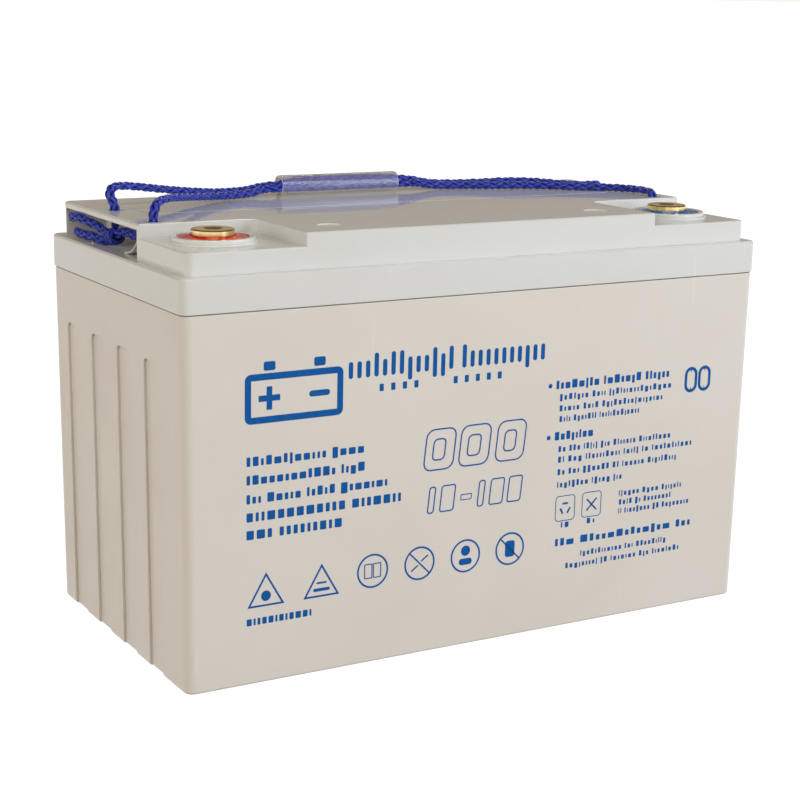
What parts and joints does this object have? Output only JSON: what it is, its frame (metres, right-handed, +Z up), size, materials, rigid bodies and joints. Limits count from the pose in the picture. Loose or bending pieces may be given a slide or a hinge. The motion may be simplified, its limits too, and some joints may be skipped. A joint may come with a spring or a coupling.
{
  "type": "deep cycle battery",
  "caption": "Sealed lead-acid block battery for leisure vehicles: pale plastic case and stepped lid, brass screw terminals, and a rope carry handle with a clear grip sleeve.",
  "frame": {"origin": "middle of the underside of the case, on the surface it stands on", "axes": "+X along the length, from the positive terminal to the negative terminal; +Y from the printed wide face to the back; +Z up"},
  "size_m": [0.33, 0.171, 0.2272],
  "materials": {
    "case_abs": "satin",
    "lid_abs": "gloss",
    "valve_rubber": "matte",
    "lead": "satin",
    "positive_plate": "matte",
    "negative_plate": "matte",
    "glass_mat": "matte",
    "terminal_brass": "polished",
    "positive_resin": "gloss",
    "negative_resin": "gloss",
    "rope_fibre": "matte",
    "clear_pvc": "gloss",
    "print_ink": "satin"
  },
  "bodies": {
    "battery": {"case": "case_abs", "lid": "lid_abs", "valve_cover_plate": "lid_abs", "positive_post": "lead", "positive_terminal_insert": "terminal_brass", "positive_post_seal": "positive_resin", "positive_post_o_ring": "valve_rubber", "negative_post": "lead", "negative_terminal_insert": "terminal_brass", "negative_post_seal": "negative_resin", "negative_post_o_ring": "valve_rubber", "positive_plates_1": "positive_plate", "negative_plates_1": "negative_plate", "separator_1": "glass_mat", "positive_plates_2": "positive_plate", "negative_plates_2": "negative_plate", "separator_2": "glass_mat", "positive_plates_3": "positive_plate", "negative_plates_3": "negative_plate", "separator_3": "glass_mat", "positive_plates_4": "positive_plate", "negative_plates_4": "negative_plate", "separator_4": "glass_mat", "positive_plates_5": "positive_plate", "negative_plates_5": "negative_plate", "separator_5": "glass_mat", "positive_plates_6": "positive_plate", "negative_plates_6": "negative_plate", "separator_6": "glass_mat", "intercell_weld_1": "lead", "intercell_weld_2": "lead", "intercell_weld_3": "lead", "intercell_weld_4": "lead", "intercell_weld_5": "lead", "rope_leg_left_front": "rope_fibre", "rope_leg_left_back": "rope_fibre", "rope_leg_right_front": "rope_fibre", "rope_leg_right_back": "rope_fibre", "rope_turn_right": "rope_fibre", "rope_knot": "rope_fibre", "rope_tail_upper": "rope_fibre", "rope_tail_lower": "rope_fibre"},
    "carry_rope": {"rope_middle_front": "rope_fibre", "rope_middle_back": "rope_fibre"},
    "grip": {"grip_sleeve": "clear_pvc"},
    "valve_1": {"relief_valve_1": "valve_rubber"},
    "valve_2": {"relief_valve_2": "valve_rubber"},
    "valve_3": {"relief_valve_3": "valve_rubber"},
    "valve_4": {"relief_valve_4": "valve_rubber"},
    "valve_5": {"relief_valve_5": "valve_rubber"},
    "valve_6": {"relief_valve_6": "valve_rubber"}
  },
  "joints": [
    {"name": "handle_lift", "type": "slide", "parent": "battery", "child": "carry_rope", "axis": [0, 0, 1], "range_m": [0, 0.045], "deforming": ["rope_leg_left_front", "rope_leg_left_back", "rope_leg_right_front", "rope_leg_right_back"]},
    {"name": "grip_slide", "type": "slide", "parent": "carry_rope", "child": "grip", "axis": [1, 0, 0], "range_m": [-0.005, 0.008]},
    {"name": "valve_1_lift", "type": "slide", "parent": "battery", "child": "valve_1", "axis": [0, 0, 1], "range_m": [0, 0.0008], "stiffness_N_per_m": 150, "springref_m": -0.001},
    {"name": "valve_2_lift", "type": "slide", "parent": "battery", "child": "valve_2", "axis": [0, 0, 1], "range_m": [0, 0.0008], "stiffness_N_per_m": 150, "springref_m": -0.001},
    {"name": "valve_3_lift", "type": "slide", "parent": "battery", "child": "valve_3", "axis": [0, 0, 1], "range_m": [0, 0.0008], "stiffness_N_per_m": 150, "springref_m": -0.001},
    {"name": "valve_4_lift", "type": "slide", "parent": "battery", "child": "valve_4", "axis": [0, 0, 1], "range_m": [0, 0.0008], "stiffness_N_per_m": 150, "springref_m": -0.001},
    {"name": "valve_5_lift", "type": "slide", "parent": "battery", "child": "valve_5", "axis": [0, 0, 1], "range_m": [0, 0.0008], "stiffness_N_per_m": 150, "springref_m": -0.001},
    {"name": "valve_6_lift", "type": "slide", "parent": "battery", "child": "valve_6", "axis": [0, 0, 1], "range_m": [0, 0.0008], "stiffness_N_per_m": 150, "springref_m": -0.001}
  ]
}
